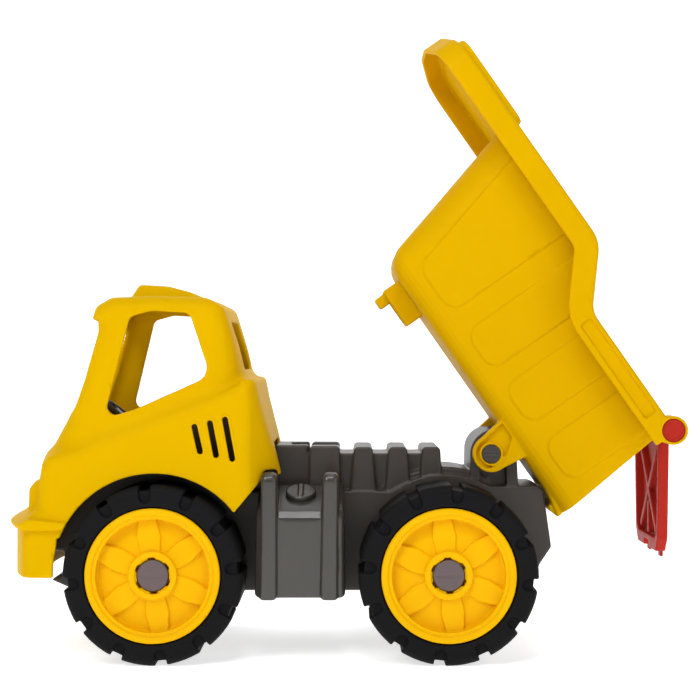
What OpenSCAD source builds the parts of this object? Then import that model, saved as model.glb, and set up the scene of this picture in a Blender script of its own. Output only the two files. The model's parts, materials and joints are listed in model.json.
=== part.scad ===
// Toy tipper truck with a two-part cab and chassis, four rubber-look wheels,
// a tipping load bed and a swinging tailgate.
// Axes: front of the truck towards -X, left side towards -Y, Z up from the ground.
// Origin: on the ground under the middle of the truck with its bed tipped up.

/* [Wheels] */
// Outside diameter of a tyre
wheel_d = 100; // [96:1:102]
// Width of a tyre
tyre_w = 45; // [40:1:45]
// Diameter of the visible rim
rim_d = 74.8; // [70:0.2:78]
// Number of tread blocks round a tyre
tread_blocks = 12; // [8:1:16]
// Depth of the tread grooves
tread_depth = 3; // [2:0.5:4]
// Number of raised blades on a rim
rim_blades = 6; // [4:1:8]
// Diameter of the axle rods
axle_d = 10; // [8:0.5:12]
// Diameter of the axle heads
axle_head_d = 17.4; // [14:0.2:18]
// Radial running clearance of pins and axles
running_gap = 0.05; // [0.02:0.01:0.1]

/* [Chassis] */
// Distance between the front and rear axles
wheelbase = 163.6; // [160:0.2:168]
// Rear axle position behind the origin
rear_axle_x = 58.8; // [56:0.2:60]
// Overall width over the tyres
overall_w = 152.4; // [150:0.2:156]
// Width of the chassis box
chassis_w = 58; // [54:1:60]
// Height of the chassis side ledge
ledge_z = 93.3; // [90:0.1:94]
// Lowest point of the chassis
belly_z = 35.6; // [32:0.2:38]
// Wall thickness of the plastic mouldings
wall = 2.4; // [2:0.1:3]

/* [Cab] */
// Width over the fenders
cab_w = 140; // [136:1:144]
// Width over the side windows
window_w = 129; // [126:1:132]
// Width over the roof
roof_w = 120; // [114:1:122]
// Radius of the wheel arches
arch_r = 56; // [55:0.5:58]
// Width of the windscreen opening
windscreen_w = 92; // [80:1:96]
// Width of the rear window
rear_window_w = 66; // [56:1:70]

/* [Dump bed] */
// Tip angle of the bed, 0 is lowered
tip_angle = 55; // [0:1:55]
// Bed hinge position behind the rear axle
bed_pivot_dx = 26.6; // [26:0.1:27]
// Bed hinge height above the ground
bed_pivot_z = 115; // [114.8:0.1:115.4]
// Diameter of the bed hinge pin
bed_pin_d = 10.8; // [9:0.1:11]
// Width over the bed rim
rim_w = 124.4; // [120:0.2:126]
// Outside width of the bed at its floor
floor_w = 80; // [78:1:82]
// Outside width of the bed at its rim
bed_top_w = 99; // [96:1:102]
// Height of the rim's turned-down lip
lip_h = 14; // [12:0.2:15]

/* [Tailgate] */
// Swing of the tailgate from closed
gate_open_angle = 49.2; // [0:0.1:49.2]
// Thickness of the tailgate plate
gate_t = 5.2; // [4:0.1:5.4]
// Length of the tailgate below its hinge
gate_l = 71.3; // [66:0.1:72]
// Diameter of the tailgate's hinge studs
gate_stud_d = 13.2; // [11:0.2:13.6]

/* [Side tanks] */
// Length of a side tank along the truck
tank_l = 50.8; // [46:0.2:52]
// Width over both side tanks
tanks_w = 128; // [120:1:130]
// Top of a side tank
tank_top_z = 98.6; // [94:0.2:100]

/* [Hidden] */
$fn = 96;
eps = 0.01;
LEFT = -1;
RIGHT = 1;

cab_yellow = [0.96, 0.81, 0.02];
bed_yellow = [0.94, 0.77, 0.01];
rim_yellow = [1.0, 0.79, 0.02];
frame_grey = [0.33, 0.31, 0.29];
pin_grey = [0.55, 0.52, 0.53];
rubber_black = [0.12, 0.12, 0.13];
gate_red = [0.72, 0.15, 0.11];

wheel_r = wheel_d / 2;
rim_r = rim_d / 2;
axle_z = wheel_r;
front_axle_x = rear_axle_x - wheelbase;
bed_pivot_x = rear_axle_x + bed_pivot_dx;
half_chassis = chassis_w / 2;
half_rim = rim_w / 2;
half_overall = overall_w / 2;

// ---------- outlines ----------

// Unit vector from a to b
function unit(a, b) = (b - a) / norm(b - a);

// Points of a fillet arc of radius r at corner p, between neighbours a and b
function fillet(a, p, b, r, steps = 6) =
  let (
    u = unit(p, a),
    v = unit(p, b),
    half = acos(max(-1, min(1, u * v))) / 2,
    bisector = (u + v) / norm(u + v),
    centre = p + bisector * r / sin(half),
    from = p + u * r / tan(half) - centre,
    to = p + v * r / tan(half) - centre,
    start = atan2(from.y, from.x),
    turn = atan2(from.x * to.y - from.y * to.x, from * to)
  )
  [for (i = [0:steps]) centre + r * [cos(start + turn * i / steps), sin(start + turn * i / steps)]];

// Closed outline from [x, y, corner radius] points
function rounded(points, steps = 6) =
  let (n = len(points))
  [for (i = [0:n - 1])
    let (
      before = points[(i + n - 1) % n],
      here = points[i],
      after = points[(i + 1) % n],
      p = [here.x, here.y]
    )
    each here[2] > 0
      ? fillet([before.x, before.y], p, [after.x, after.y], here[2], steps)
      : [p]];

// Solid with its outline in the X-Z plane, between two Y positions
module across(y_from, y_to) {
  translate([0, y_to, 0])
    rotate([90, 0, 0])
      linear_extrude(y_to - y_from)
        children();
}

// Solid with its outline in the Y-Z plane, between two X positions
module along(x_from, x_to) {
  translate([x_from, 0, 0])
    rotate([90, 0, 90])
      linear_extrude(x_to - x_from)
        children();
}

// Box between two opposite corners
module block(low, high) {
  translate(low)
    cube(high - low);
}

// Solid cylinder along Y
module rod_y(r, y_from, y_to) {
  translate([0, y_to, 0])
    rotate([90, 0, 0])
      cylinder(r = r, h = y_to - y_from);
}

// ---------- wheels ----------

// A wheel's local frame: axis on Z, outer face at 0, inner face at -tyre_w
module at_wheel(axle_x, side) {
  translate([axle_x, side * half_overall, axle_z])
    rotate([side * -90, 0, 0])
      children();
}

tyre_seat_r = rim_r - 3.4;
shoulder_r = 5;
tread_wall = 5.6;
side_wall = 4;
notch_w = 6.3;
notch_root_r = 40.4;
notch_depth = 2.4;
first_notch_angle = 5.5;

// The tyre is hollow towards the rim, like a real one
module tyre_body() {
  rotate_extrude()
    difference() {
      polygon(rounded([
        [tyre_seat_r, -tyre_w, 1], [wheel_r, -tyre_w, shoulder_r],
        [wheel_r, 0, shoulder_r], [rim_r + 0.4, 0, 1],
        [rim_r + 0.4, -3, 0], [tyre_seat_r, -3, 0],
      ]));
      translate([0, -tyre_w + side_wall])
        square([wheel_r - tread_wall, tyre_w - 2 * side_wall - 3]);
    }
}

// One groove across the tread with a rounded notch in each side wall
module tread_groove() {
  block([wheel_r - tread_depth, -notch_w / 2, -tyre_w - eps], [wheel_r + eps, notch_w / 2, eps]);
  for (z = [-notch_depth, -tyre_w - eps])
    translate([0, 0, z]) {
      translate([notch_root_r + notch_w / 2, 0, 0])
        cylinder(d = notch_w, h = notch_depth + eps);
      block([notch_root_r + notch_w / 2, -notch_w / 2, 0], [wheel_r + eps, notch_w / 2, notch_depth + eps]);
    }
}

module tyre() {
  color(rubber_black)
    difference() {
      tyre_body();
      for (i = [0:tread_blocks - 1])
        rotate(first_notch_angle + i * 360 / tread_blocks)
          tread_groove();
    }
}

bead_w = 4.2;
dish_z = -7.4;
disc_t = 2.6;
boss_r = 13.5;
boss_face_z = -1.6;
head_pocket_r = 9.7;
head_pocket_z = -7.2;
boss_inner_z = -tyre_w - 1.6;
blade_w = 12;
blade_end_r = 30.2;
first_blade_angle = 96;

// Rim, dish, boss and the barrel that carries the tyre
module hub_body() {
  rotate_extrude()
    difference() {
      union() {
        // barrel under the tyre
        translate([tyre_seat_r - 2.6, -tyre_w + 1])
          square([2.6, tyre_w - 2]);
        // raised bead over the tyre's inner edge
        polygon(rounded([
          [rim_r - bead_w, -2.9, 0], [rim_r, -2.9, 0], [rim_r, 0.3, 1.6], [rim_r - bead_w, 0.3, 1.6],
        ]));
        // dish, shallowest at the boss
        polygon([
          [boss_r - 1, dish_z + 2], [tyre_seat_r - 1, dish_z], [tyre_seat_r - 1, dish_z - disc_t],
          [boss_r - 1, dish_z + 2 - disc_t],
        ]);
        // boss round the axle
        polygon([[0, boss_inner_z], [8.6, boss_inner_z], [boss_r, dish_z - 3], [boss_r, boss_face_z], [0, boss_face_z]]);
      }
      // running bore and head pocket
      translate([0, boss_inner_z - 1])
        square([axle_d / 2 + running_gap, tyre_w + 4]);
      translate([0, head_pocket_z])
        square([head_pocket_r, 10]);
    }
}

// One blade from the boss towards the bead, straight on one side and curved on the other
module hub_blade() {
  translate([0, 0, dish_z])
    linear_extrude(3.4)
      polygon([
        [boss_r - 3, -blade_w / 2], [blade_end_r - 2, -blade_w / 2 + 0.8], [blade_end_r, -blade_w / 2 + 3],
        [blade_end_r, blade_w / 2 - 3], [blade_end_r - 4, blade_w / 2], [boss_r + 6, blade_w / 2 - 0.4],
        [boss_r - 3, blade_w / 2 - 1.4],
      ]);
}

// Six snap slots round the axle head
module hub_snap_slots() {
  for (i = [0:5])
    rotate(30 + i * 60)
      block([head_pocket_r - 2, -1.4, head_pocket_z - 1.6], [head_pocket_r + 0.8, 1.4, 1]);
}

module hub() {
  color(rim_yellow)
    difference() {
      union() {
        hub_body();
        for (i = [0:rim_blades - 1])
          rotate(first_blade_angle + i * 360 / rim_blades)
            hub_blade();
      }
      hub_snap_slots();
    }
}

head_t = 4.4;
head_face = half_overall - 2.6;

// Through rod with a head at each end
module axle() {
  color(pin_grey)
    rotate([-90, 0, 0])
      rotate_extrude()
        polygon([
          [0, -head_face], [axle_head_d / 2 - 0.8, -head_face], [axle_head_d / 2, -head_face + 0.8],
          [axle_head_d / 2, -head_face + head_t], [axle_d / 2, -head_face + head_t],
          [axle_d / 2, head_face - head_t], [axle_head_d / 2, head_face - head_t],
          [axle_head_d / 2, head_face - 0.8], [axle_head_d / 2 - 0.8, head_face], [0, head_face],
        ]);
}

// ---------- chassis ----------

nose_x = front_axle_x - 64;
nose_z = 41.8;
platform_z = 107.8;
deck_z = 96.1;
deck_rear_x = rear_axle_x + 55.4;
tail_x = rear_axle_x + 62;
hump_front_x = rear_axle_x - 98.2;
hump_rear_x = rear_axle_x - 2.4;
hump_z = 114.6;
hump_w = 44;
rib_top_z = 118.6;
box_rib_top_z = 120.4;
box_rib_x = rear_axle_x - 70.4;
stand_r = 13.6;
// the stand is set back a little from the hinge
stand_dx = 2.2;
stand_x = bed_pivot_x + stand_dx;
bed_pin_r = bed_pin_d / 2;
// centre and foot width of each rib, measured from the rear axle
ribs = [[-46.9, 16], [-26.8, 15.6], [-7.6, 14.3]];

// Side outline of the lower box: a thin nose under the bumper, the belly, the tail, the deck,
// then the platform that carries the cab's floor and its front face behind the bumper
function lower_box_outline() = [
  [nose_x, nose_z, 0.5], [nose_x + 14, belly_z, 4], [rear_axle_x + 50, belly_z, 6],
  [rear_axle_x + 55.3, 50.8, 2], [tail_x, 60.8, 2], [rear_axle_x + 57.2, 94.7, 2],
  [deck_rear_x - 2, deck_z, 1], [rear_axle_x + 22, deck_z, 2], [rear_axle_x + 14, ledge_z + 4, 3],
  [rear_axle_x - 20, ledge_z + 4, 3], [rear_axle_x - 32, ledge_z, 4], [front_axle_x + 48, ledge_z, 2],
  [front_axle_x + 45, platform_z, 2], [front_axle_x - 41, platform_z, 4], [front_axle_x - 58, 84, 8],
  [front_axle_x - 63, 58.5, 1], [front_axle_x - 56.4, 58.5, 1], [front_axle_x - 56.4, nose_z + 4.4, 1],
];

module lower_box(inset) {
  across(-half_chassis + inset, half_chassis - inset)
    offset(delta = -inset)
      polygon(rounded(lower_box_outline(), 4));
}

// Narrower upper deck that the ribs stand on
module upper_hump(inset) {
  across(-hump_w / 2 + inset, hump_w / 2 - inset)
    polygon([
      [hump_front_x + inset, ledge_z - 6], [hump_front_x + inset, box_rib_top_z - inset],
      [hump_front_x + 19.2 - inset, box_rib_top_z - inset], [hump_front_x + 19.4 - inset, hump_z - inset],
      [hump_rear_x - inset, hump_z - inset], [hump_rear_x + 4 - inset, ledge_z - 6],
    ]);
}

// One rib over the hump, wider at its foot
module rib(foot_w, top_w, top_z, half_w) {
  across(-half_w, half_w)
    polygon(rounded([
      [-foot_w / 2, ledge_z - 4, 0], [-top_w / 2, top_z, 2], [top_w / 2, top_z, 2], [foot_w / 2, ledge_z - 4, 0],
    ], 4));
}

// Rounded stand for the bed hinge
module pivot_stand() {
  translate([stand_x, 0, bed_pivot_z])
    rod_y(stand_r, -half_chassis + 1, half_chassis - 1);
  across(-half_chassis + 1, half_chassis - 1)
    polygon([
      [stand_x - stand_r - 0.4, deck_z - 6], [stand_x - stand_r, bed_pivot_z],
      [stand_x + stand_r - 0.4, bed_pivot_z - 2], [stand_x + stand_r + 1, deck_z - 6],
    ]);
}

// Room inside the stand, open to the box below
module stand_hollow() {
  half = half_chassis - 1 - 4;
  translate([stand_x, 0, bed_pivot_z])
    rod_y(stand_r - wall, -half, half);
  across(-half, half)
    polygon([
      [stand_x - stand_r + wall, deck_z - 12], [stand_x - stand_r + wall, bed_pivot_z],
      [stand_x + stand_r - wall - 0.4, bed_pivot_z - 2], [stand_x + stand_r - wall, deck_z - 12],
    ]);
}

// Boss through the box that an axle turns in
module axle_boss(x) {
  translate([x, 0, axle_z])
    rod_y(axle_d / 2 + 4, -half_chassis, half_chassis);
}

module chassis() {
  color(frame_grey)
    difference() {
      union() {
        difference() {
          union() {
            lower_box(0);
            upper_hump(0);
            for (r = ribs)
              translate([rear_axle_x + r[0], 0, 0])
                rib(r[1], 10.6, rib_top_z, half_chassis - 1);
            translate([box_rib_x, 0, 0])
              rib(19, 17.3, box_rib_top_z, half_chassis - 1);
            pivot_stand();
          }
          lower_box(wall);
          upper_hump(wall);
          stand_hollow();
          // open underside
          block([nose_x + 20, -half_chassis + wall, belly_z - 1], [rear_axle_x + 46, half_chassis - wall, belly_z + 6]);
        }
        axle_boss(front_axle_x);
        axle_boss(rear_axle_x);
        pin_boss();
        support_pad();
      }
      translate([front_axle_x, 0, axle_z])
        rod_y(axle_d / 2, -half_chassis - 1, half_chassis + 1);
      translate([rear_axle_x, 0, axle_z])
        rod_y(axle_d / 2, -half_chassis - 1, half_chassis + 1);
      translate([bed_pivot_x, 0, bed_pivot_z])
        rod_y(bed_pin_r, -half_chassis - 1, half_chassis + 1);
      prong_slot();
      support_pocket();
    }
}

// Cross tube between the two sides of the hinge stand
module pin_boss() {
  translate([bed_pivot_x, 0, bed_pivot_z])
    rod_y(bed_pin_r + 3, -half_chassis + 1, half_chassis - 1);
}

// Slot in the front deck that the bed's prong drops into
module prong_slot() {
  block([prong_x - 8, -12, 104], [prong_x + 14, 12, box_rib_top_z + 1]);
}

// Shallow pocket in the front deck that the bed's support block sits in
module support_pocket() {
  block([support_front_x - 1, -support_half_w - 0.6, support_seat_z], [0, support_half_w + 0.6, box_rib_top_z + 1]);
}

// Thick deck under the pocket
module support_pad() {
  block(
    [support_front_x - 3, -support_half_w - 3, support_seat_z - 4],
    [box_rib_x + 8.6, support_half_w + 3, support_seat_z + 1]
  );
}

// ---------- cab ----------

// Side outline of the cab above the wheel arch, measured from the front axle
function cab_outline() = [
  [-53.9, 48, 1], [-53.9, 66, 0], [45, 66, 0], [45, 85, 1.5], [58.6, 103.6, 0],
  [68.8, 101, 0], [70.2, 101, 0.4], [65.5, 120, 30], [58.6, 145.5, 2], [56.4, 157.4, 3], [51.2, 159.2, 2],
  [35.6, 204.2, 9], [-18, 204.2, 6], [-31.6, 203.6, 9], [-33.5, 192.3, 0.6], [-30.1, 190.9, 0.6],
  [-38.5, 158.9, 30], [-45, 140.9, 30], [-56.5, 118, 3], [-61.5, 112, 3], [-63.6, 100, 2],
  [-68.6, 96, 2], [-70, 82, 0], [-70, 48, 1],
];

// Front outline of the cab: straight fenders, then sides leaning in to the roof
function cab_section() = [
  [-cab_w / 2, 40, 0], [cab_w / 2, 40, 0], [cab_w / 2, 122, 8], [window_w / 2, 146, 10],
  [roof_w / 2, 204.3, 12], [-roof_w / 2, 204.3, 12], [-window_w / 2, 146, 10], [-cab_w / 2, 122, 8],
];

// Plan outline of the cab: bowed front, bevelled rear corners
function cab_plan(front_x, bow) = [
  for (i = [-8:8]) let (k = i / 8) [front_x + bow * k * k, k * (cab_w / 2 - 6)],
  [front_x + bow + 8, cab_w / 2], [57, cab_w / 2], [67, cab_w / 2 - 20], [71, cab_w / 2 - 24],
  [71, -cab_w / 2 + 24], [67, -cab_w / 2 + 20], [57, -cab_w / 2], [front_x + bow + 8, -cab_w / 2],
];

module cab_solid(inset) {
  intersection() {
    across(-cab_w / 2, cab_w / 2)
      offset(delta = -inset)
        polygon(rounded(cab_outline(), 4));
    along(-80, 80)
      offset(delta = -inset)
        polygon(rounded(cab_section(), 6));
    translate([0, 0, 30])
      linear_extrude(200)
        offset(delta = -inset)
          polygon(cab_plan(-71, 9));
  }
}

bumper_lip_z = 77.4;
bumper_lip_t = 3.2;
bumper_front = -84.6;
lip_over = 3.97;

// Bowed bumper skirt with its lip
module bumper(inset) {
  intersection() {
    across(-cab_w / 2 + inset, cab_w / 2 - inset)
      polygon(rounded([
        [bumper_front - 2, 48 - 2 * inset, 0], [-53.9, 48 - 2 * inset, 0], [-53.9, bumper_lip_z - inset, 0],
        [bumper_front - 2, bumper_lip_z - inset, 0],
      ], 4));
    translate([0, 0, 30])
      linear_extrude(80)
        polygon(cab_plan(bumper_front + inset, 12));
  }
}

module bumper_lip() {
  intersection() {
    translate([0, 0, bumper_lip_z - 1.2])
      linear_extrude(bumper_lip_t)
        polygon(cab_plan(bumper_front - lip_over, 13));
    block([-100, -cab_w / 2 - 1, 60], [-54, cab_w / 2 + 1, 90]);
  }
  // sloping top of the bumper up to the grille
  intersection() {
    across(-cab_w / 2, cab_w / 2)
      polygon([[bumper_front, bumper_lip_z], [-66, bumper_lip_z], [-66, 86], [-71, 84]]);
    translate([0, 0, 30])
      linear_extrude(80)
        polygon(cab_plan(bumper_front, 12));
  }
}

// Side window outline, measured from the front axle
function side_window() = [
  [-27.8, 137.2, 3], [-14.2, 193, 4], [-2, 196.2, 8], [18.5, 195.4, 4], [30.4, 161, 8], [-12, 141, 40],
];

// Vent slots: foot and head of each, measured from the front axle
vents = [[[25.6, 118], [22.4, 132.7]], [[34.7, 115.9], [31.1, 134.7]], [[43.8, 113.7], [39.6, 136.5]]];
vent_w = 2.6;

module vent_slot(foot, head) {
  along_v = unit(foot, head);
  side_v = [-along_v.y, along_v.x] * vent_w / 2;
  across(-cab_w, cab_w)
    polygon([foot + side_v, foot - side_v, head - side_v, head + side_v]);
}

module windscreen() {
  along(-60, -24)
    polygon(rounded([
      [-windscreen_w / 2 - 3, 139, 6], [windscreen_w / 2 + 3, 139, 6],
      [windscreen_w / 2, 190, 6], [-windscreen_w / 2, 190, 6],
    ]));
}

module rear_window() {
  along(34, 70)
    polygon(rounded([
      [-rear_window_w / 2, 164, 5], [rear_window_w / 2, 164, 5],
      [rear_window_w / 2 - 6, 192, 5], [-rear_window_w / 2 + 6, 192, 5],
    ]));
}

// Raised roof panel
module roof_panel(inset) {
  across(-34 + inset, 34 - inset)
    polygon([
      [-20 + inset, 200], [-13 + inset, 212.4 - inset], [4, 211.8 - inset], [16 - inset, 208.6 - inset],
      [26 - inset, 200],
    ]);
}

// Lower edge of the shell: cut up to the arches between bumper and rear wall
module cab_underside() {
  translate([0, 0, axle_z])
    rod_y(arch_r, -cab_w, cab_w);
  block([-53.9 + eps, -cab_w, 30], [46, cab_w, 66.1]);
}

// The rear wall is notched over the front strap of each side tank
module strap_notch() {
  middle = tank_x + straps[0] - front_axle_x;
  half = strap_w / 2 + 0.4;
  for (side = [LEFT, RIGHT])
    mirror_to(side)
      block([middle - half, half_chassis - 1, 95], [middle + half, cab_w, strap_top_z + 0.8]);
}

module cab_shell() {
  color(cab_yellow)
    translate([front_axle_x, 0, 0])
      difference() {
        union() {
          cab_solid(0);
          roof_panel(0);
          bumper(0);
          bumper_lip();
        }
        cab_solid(wall);
        roof_panel(wall);
        bumper(wall);
        // open underside
        block([-60, -cab_w / 2 + wall, 40], [60, cab_w / 2 - wall, 104]);
        cab_underside();
        strap_notch();
        // rear wall is open round the chassis
        block([50, -half_chassis, 90], [90, half_chassis, 121]);
        across(-cab_w, cab_w)
          polygon(rounded(side_window()));
        windscreen();
        rear_window();
        for (v = vents)
          vent_slot(v[0], v[1]);
      }
}

interior_z = platform_z;
dash_front_x = -46;
seat_back_x = 50;
bench_z = 138;

// Dashboard outline: upright front, sloping panel towards the seat
function dash_outline(inset) = [
  [dash_front_x + inset, interior_z - inset], [-30 - inset, interior_z - inset], [-28.6 - inset, 123],
  [-37, 130 - inset], [dash_front_x + inset, 126 - inset],
];

// Seat outline: a high bench behind the driver with a thin upright back
function seat_outline(inset) = [
  [16 + inset, interior_z - inset], [seat_back_x - inset, interior_z - inset],
  [seat_back_x - inset, 150 - inset], [seat_back_x - 7 + inset, 150 - inset], [41, bench_z + 2 - inset],
  [16 + inset, bench_z - inset],
];

// Grey floor tray on the platform with the dashboard and a bench seat, hollow underneath
module cab_interior() {
  half_w = cab_w / 2 - wall;
  color(frame_grey)
    translate([front_axle_x, 0, 0]) {
      difference() {
        union() {
          block([dash_front_x, -half_w, interior_z], [seat_back_x, half_w, interior_z + wall]);
          across(-half_w + 8, half_w - 8)
            polygon(dash_outline(0));
          across(-40, 40)
            polygon(seat_outline(0));
        }
        across(-half_w + 8 + wall, half_w - 8 - wall)
          polygon(dash_outline(wall));
        across(-40 + wall, 40 - wall)
          polygon(seat_outline(wall));
        at_steering()
          translate([0, 0, -12])
            cylinder(r = column_r, h = 24);
      }
    }
}

wheel_ring_r = 11;
wheel_ring_t = 1.7;
driver_y = -30;
column_r = 2.2;
column_l = 15;

// The column's axis: up from the dashboard, leaning back towards the driver
module at_steering() {
  translate([-33, driver_y, 126.4])
    rotate([0, 38, 0])
      children();
}

// Steering wheel with its column
module steering_wheel() {
  color(frame_grey)
    translate([front_axle_x, 0, 0])
      at_steering() {
        translate([0, 0, -3])
          cylinder(r = column_r, h = column_l + 3);
        translate([0, 0, column_l]) {
          rotate_extrude()
            translate([wheel_ring_r, 0])
              circle(r = wheel_ring_t);
          cylinder(r = 3.6, h = 2, center = true);
          for (i = [0:2])
            rotate(i * 120)
              block([0, -1.4, -0.9], [wheel_ring_r, 1.4, 0.9]);
        }
      }
}

// ---------- side tanks ----------

tank_x = rear_axle_x - 108;
half_tanks = tanks_w / 2;
strap_w = 7.2;
// strap centres from the front of a tank
straps = [8.2, 42.6];
strap_out = 1.6;
strap_top_z = tank_top_z + 7.8;
facet_z = tank_top_z - 17.4;
facet_h = 3.4;
facet_in = 1.8;
slope_head_y = half_chassis + 4;

// Section of a tank: upright outer face, a narrow facet, then a sloping top
function tank_section(inset) = [
  [half_chassis, belly_z + 0.4 + inset, 0], [half_tanks - inset, belly_z + 0.4 + inset, 4],
  [half_tanks - inset, facet_z, 0.8], [half_tanks - facet_in - inset, facet_z + facet_h - inset / 2, 0.8],
  [slope_head_y, tank_top_z - 0.4 - inset, 4], [half_chassis, tank_top_z - inset, 0],
];

// Section of a strap: an upright bar past the tank's outer face, then over its top to the chassis
function strap_section() = [
  [half_chassis, belly_z + 1, 0], [half_tanks + strap_out, belly_z + 1, 2],
  [half_tanks + strap_out, strap_top_z, 6], [half_chassis, strap_top_z - 2.4, 2],
];

cap_y = half_tanks - 18.5;
cap_z = tank_top_z - 6.2;
cap_tilt = 65;
cap_r = 8.2;
cap_stem_r = 4;
cap_recess_r = 11;
cap_recess = 1.6;

// Place things on the sloping top of a tank
module at_filler(side) {
  translate([tank_x + tank_l / 2, side * cap_y, cap_z])
    rotate([-side * (90 - cap_tilt), 0, 0])
      children();
}

module tank(side) {
  color(frame_grey)
    difference() {
      union() {
        mirror_to(side)
          along(tank_x, tank_x + tank_l)
            polygon(rounded(tank_section(0)));
        for (s = straps)
          mirror_to(side)
            along(tank_x + s - strap_w / 2, tank_x + s + strap_w / 2)
              polygon(rounded(strap_section()));
      }
      mirror_to(side)
        translate([0, -eps, 0])
          along(tank_x + wall, tank_x + tank_l - wall)
            polygon(rounded(tank_section(wall)));
      // recess and bore for the filler cap
      at_filler(side) {
        translate([0, 0, -cap_recess])
          cylinder(r = cap_recess_r, h = 10);
        translate([0, 0, -10])
          cylinder(r = cap_stem_r, h = 20);
      }
    }
}

// Right side as drawn, left side mirrored
module mirror_to(side) {
  if (side == RIGHT)
    children();
  else
    mirror([0, 1, 0])
      children();
}

// Round cap with a grip bar and a stem into the tank
module filler_cap(side) {
  color(frame_grey)
    at_filler(side) {
      translate([0, 0, -cap_recess])
        cylinder(r = cap_r, h = cap_recess + 2.6);
      translate([0, 0, -5])
        cylinder(r = cap_stem_r, h = 5);
      block([-1.4, -cap_r + 0.8, 2.4], [1.4, cap_r - 0.8, 3.8]);
    }
}

// ---------- dump bed ----------

// The bed is drawn lowered, from its hinge: X to the rear, Z up
floor_z = 14;
rim_z = 117.6;
canopy_z = 121;
low_rim_z = 91.4;
canopy_tip_x = -215;
canopy_bow = 12;
canopy_corner_r = 20;
pad_front_x = -203;
pad_rear_x = -145;
pad_half_w = half_rim - 4;
bed_front_foot_x = -124.9;
bed_front_head_x = -151.6;
rear_foot = [52.3, 10.6];
rear_head = [45.0, 82.3];
ear_x = 45.3;
ear_z = 90.2;
ear_r = 8.1;
rim_t = 2.4;
slope_head_x = -65.4;
slope_foot_x = -35.2;
bed_lug_r = 10.6;
bed_lug_in = half_chassis + 0.35;
bed_lug_out = half_chassis + 7;
prong_dx = -108;
prong_x = bed_pivot_x + prong_dx;
support_dx = [-112.7, -87.6];
support_foot_z = 3.1;
support_half_w = 13;
support_front_x = bed_pivot_x + support_dx[0];
support_seat_z = bed_pivot_z + support_foot_z - 0.4;

module at_bed() {
  translate([bed_pivot_x, 0, bed_pivot_z])
    rotate([0, tip_angle, 0])
      children();
}

// Side outline of the tub, from the front wall round the floor to the rear edge
function tub_outline(inset) = [
  [bed_front_head_x + inset, rim_z - inset, 0], [bed_front_foot_x + inset, floor_z + inset, 11 - inset],
  [rear_foot.x + 10 * inset, floor_z + inset, 0], [rear_foot.x + 10 * inset, low_rim_z + 10, 0],
  [slope_foot_x + 14, rim_z + 2, 0],
];

// Cross-section of the tub
function tub_section(inset) = [
  [-bed_top_w / 2 + inset, rim_z + 4, 0], [-floor_w / 2 + inset, floor_z + inset, 9 - inset],
  [floor_w / 2 - inset, floor_z + inset, 9 - inset], [bed_top_w / 2 - inset, rim_z + 4, 0],
];

module tub(inset) {
  intersection() {
    across(-half_rim, half_rim)
      polygon(rounded(tub_outline(inset)));
    along(-220, 80)
      polygon(rounded(tub_section(inset)));
  }
}

// Everything above this line is cut from the tub: the rim's top line
function rim_line(down, rear_x) = [
  [canopy_tip_x - 5, rim_z - down], [slope_head_x - down * 0.36, rim_z - down],
  [slope_foot_x - down * 0.36, low_rim_z - down], [rear_x, low_rim_z - down],
];

function reversed(list) = [for (i = [len(list) - 1:-1:0]) list[i]];

module rim_band(height, rear_x) {
  across(-half_rim, half_rim)
    polygon(concat(rim_line(0, rear_x), reversed(rim_line(height, rear_x))));
}

// Plan of the rim: a bowed canopy nose with rounded corners, and open past the rear edge
function rim_plan() = rounded([
  [canopy_tip_x + canopy_bow, -half_rim, canopy_corner_r], [rear_head.x + 20, -half_rim, 0],
  [rear_head.x + 20, half_rim, 0], [canopy_tip_x + canopy_bow, half_rim, canopy_corner_r],
  [canopy_tip_x, 16, 30], [canopy_tip_x, -16, 30],
], 8);

module rim_sheet(inset) {
  translate([0, 0, -1])
    linear_extrude(150)
      offset(delta = -inset)
        polygon(rim_plan());
}

// Flat flange, turned-down lip, and the raised canopy pad
module rim() {
  intersection() {
    rim_band(rim_t, rear_head.x + 1.5);
    rim_sheet(0);
  }
  intersection() {
    rim_band(lip_h, rear_head.x + 1.5);
    difference() {
      rim_sheet(0);
      rim_sheet(wall);
    }
  }
  translate([0, 0, rim_z - rim_t])
    linear_extrude(canopy_z - rim_z + rim_t)
      polygon(rounded([
        [pad_front_x, -pad_half_w, 10], [pad_rear_x, -pad_half_w, 6],
        [pad_rear_x, pad_half_w, 6], [pad_front_x, pad_half_w, 10],
      ]));
}

// Raised panels pressed outwards in the side walls: front and rear edge at the foot, and the head's z
panels = [[-112, -79.6, 96], [-66, -39, 92], [-28, -1, 74], [11, 39, 74]];
panel_foot_z = 27;
panel_out = 0.9;

// Panels follow the leaning side wall
module side_panels(side) {
  lean = atan((bed_top_w - floor_w) / 2 / (rim_z + 4 - floor_z));
  translate([0, side * floor_w / 2, floor_z])
    rotate([side * -lean, 0, 0])
      translate([0, 0, -floor_z])
        across(-1, 1)
          for (p = panels)
            polygon(rounded([
              [p[0], panel_foot_z, 9], [p[1], panel_foot_z, 9], [p[1], p[2], 2], [p[0] - (p[0] < -100 ? 11 : 0), p[2], 2],
            ]));
}

// Hinge lug under the floor, widening upwards
module bed_lug(side) {
  y_from = side == LEFT ? -bed_lug_out : bed_lug_in;
  rod_y(bed_lug_r, y_from, y_from + bed_lug_out - bed_lug_in);
  across(y_from, y_from + bed_lug_out - bed_lug_in)
    polygon([
      [-bed_lug_r * cos(20), bed_lug_r * sin(20)], [-bed_lug_r * sin(62), -bed_lug_r * cos(62)],
      [bed_lug_r * sin(62), -bed_lug_r * cos(62)], [17, floor_z + 1], [-13, floor_z + 1],
    ]);
}

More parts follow.
